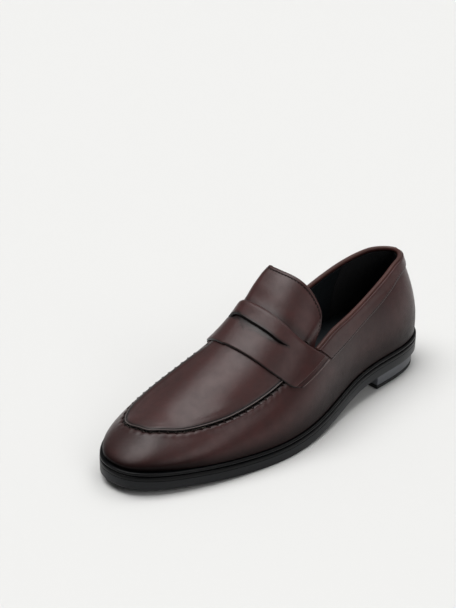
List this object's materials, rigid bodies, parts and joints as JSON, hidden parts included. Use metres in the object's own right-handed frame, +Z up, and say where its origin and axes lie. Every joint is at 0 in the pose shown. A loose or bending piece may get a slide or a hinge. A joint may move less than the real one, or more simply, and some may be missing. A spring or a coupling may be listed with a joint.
{
  "type": "penny loafer",
  "caption": "Left penny loafer: moccasin apron, saddle strap with keeper slot, standing tongue, banded topline, moulded sole and low block heel.",
  "frame": {"origin": "middle of the bounding box in x and y, on the floor under the heel and the ball", "axes": "+Z up, the toe points to -Y and the heel to +Y, +X is the lateral (outer) side of this left shoe"},
  "size_m": [0.102, 0.3, 0.1071],
  "materials": {
    "apron": "smooth burgundy-brown calf with a satin sheen",
    "vamp_wall": "smooth burgundy-brown calf, burnished darker at the lower edge",
    "medial_quarter": "smooth burgundy-brown calf with a satin sheen",
    "collar_band": "smooth burgundy-brown calf with a satin sheen",
    "topline_binding": "rolled leather edge, a little lighter",
    "saddle_strap": "smooth burgundy-brown calf with dark painted edges",
    "tongue": "smooth burgundy-brown calf with a stitched edge",
    "tongue_lining": "black lining leather",
    "vamp_lining": "black woven lining",
    "quarter_lining_lateral": "black lining leather",
    "quarter_lining_medial": "black lining leather",
    "heel_grip": "black suede side out",
    "toe_puff": "thermoplastic stiffener sheet",
    "heel_counter": "thermoplastic stiffener sheet",
    "insole_board": "fibre board",
    "heel_pad": "latex foam",
    "sock_liner": "black lining leather",
    "shank": "plain spring steel",
    "cork_filler": "pressed cork",
    "welt_band": "black moulded rubber, satin",
    "outsole": "blue-grey black moulded rubber, satin",
    "heel_block": "blue-grey black moulded rubber, satin",
    "heel_top_piece": "black matt rubber"
  },
  "bodies": {
    "shoe": {"apron": "apron", "vamp_wall": "vamp_wall", "medial_quarter": "medial_quarter", "collar_band": "collar_band", "topline_binding": "topline_binding", "saddle_strap": "saddle_strap", "vamp_lining": "vamp_lining", "quarter_lining_lateral": "quarter_lining_lateral", "quarter_lining_medial": "quarter_lining_medial", "heel_grip": "heel_grip", "toe_puff": "toe_puff", "heel_counter": "heel_counter", "insole_board": "insole_board", "heel_pad": "heel_pad", "sock_liner": "sock_liner", "shank": "shank", "cork_filler": "cork_filler", "welt_band": "welt_band", "outsole": "outsole", "heel_block": "heel_block", "heel_top_piece": "heel_top_piece"},
    "tongue_body": {"tongue": "tongue", "tongue_lining": "tongue_lining"}
  },
  "joints": [
    {"name": "tongue_lift", "type": "hinge", "parent": "shoe", "child": "tongue_body", "pos_m": [0, -0.0105, 0.086], "axis": [1, 0, 0], "range_deg": [0, 15], "stiffness_Nm_per_rad": 0.05}
  ]
}
